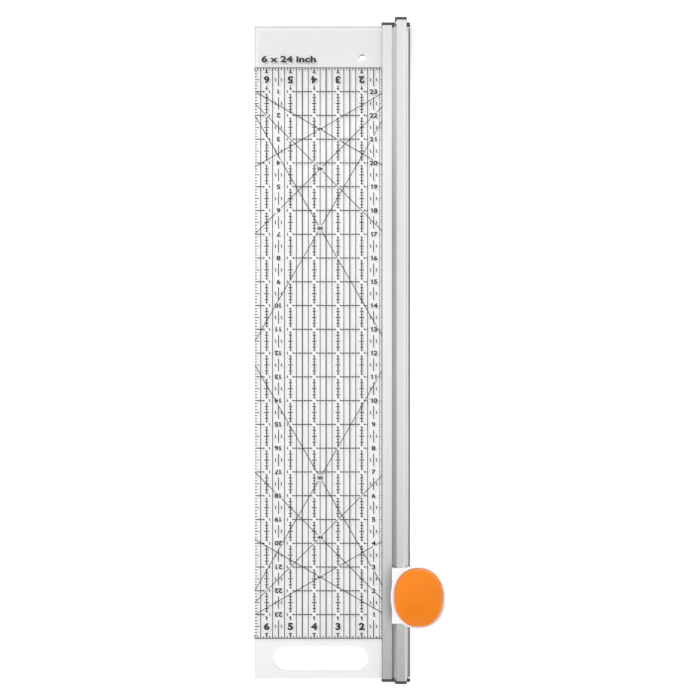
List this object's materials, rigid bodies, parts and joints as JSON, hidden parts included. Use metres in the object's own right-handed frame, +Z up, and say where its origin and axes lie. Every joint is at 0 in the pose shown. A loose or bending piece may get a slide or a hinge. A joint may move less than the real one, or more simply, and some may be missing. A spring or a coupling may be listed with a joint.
{
  "type": "rotary paper trimmer",
  "caption": "Clear inch ruler with an aluminium rail along one edge and a sliding carriage whose sprung, round blade cuts when the domed palm button is pressed.",
  "frame": {"origin": "centre of the clear plate's underside, on the mat", "axes": "+X from the plain edge to the rail and the cut line, +Y along the cut from the finger slot to the hanging hole, +Z up from the mat"},
  "size_m": [0.2046, 0.7036, 0.0529],
  "materials": {
    "clear_acrylic": "polished, clear",
    "tape": "translucent adhesive",
    "anodised_aluminium": "satin, drawn lengthwise",
    "dark_plastic": "fine texture",
    "screw_steel": "zinc plated",
    "grip_rubber": "matte",
    "white_plastic": "satin gloss",
    "glide_plastic": "waxy",
    "spring_steel": "drawn wire",
    "orange_plastic": "satin gloss",
    "holder_plastic": "glass-filled, fine texture",
    "hub_plastic": "smooth",
    "blade_steel": "ground, polished bevel"
  },
  "bodies": {
    "ruler": {"ruler_plate": "clear_acrylic", "bonding_tape": "tape", "rail": "anodised_aluminium", "end_cap_far": "dark_plastic", "end_cap_near": "dark_plastic", "cap_screws": "screw_steel", "edge_grip_strip": "grip_rubber", "base_grip_strip": "grip_rubber"},
    "carriage": {"carriage_body": "white_plastic", "rail_glides": "glide_plastic", "housing_cover": "white_plastic", "cover_screws": "screw_steel", "guide_pins": "screw_steel", "return_springs": "spring_steel"},
    "blade_unit": {"palm_button": "orange_plastic", "button_screws": "screw_steel", "blade_holder": "holder_plastic", "axle_bolt": "screw_steel", "axle_nut": "screw_steel", "spring_washer": "spring_steel"},
    "blade": {"rotary_blade": "blade_steel", "blade_hub": "hub_plastic"}
  },
  "joints": [
    {"name": "carriage_slide", "type": "slide", "parent": "ruler", "child": "carriage", "axis": [0, 1, 0], "range_m": [-0.0603, 0.5771]},
    {"name": "button_press", "type": "slide", "parent": "carriage", "child": "blade_unit", "axis": [0, 0, -1], "range_m": [0, 0.0033], "stiffness_N_per_m": 600, "springref_m": -0.003, "deforming": ["return_springs"]},
    {"name": "blade_spin", "type": "hinge", "parent": "blade_unit", "child": "blade", "pos_m": [0.0935, -0.2584, 0.0255], "axis": [1, 0, 0], "continuous": true}
  ]
}
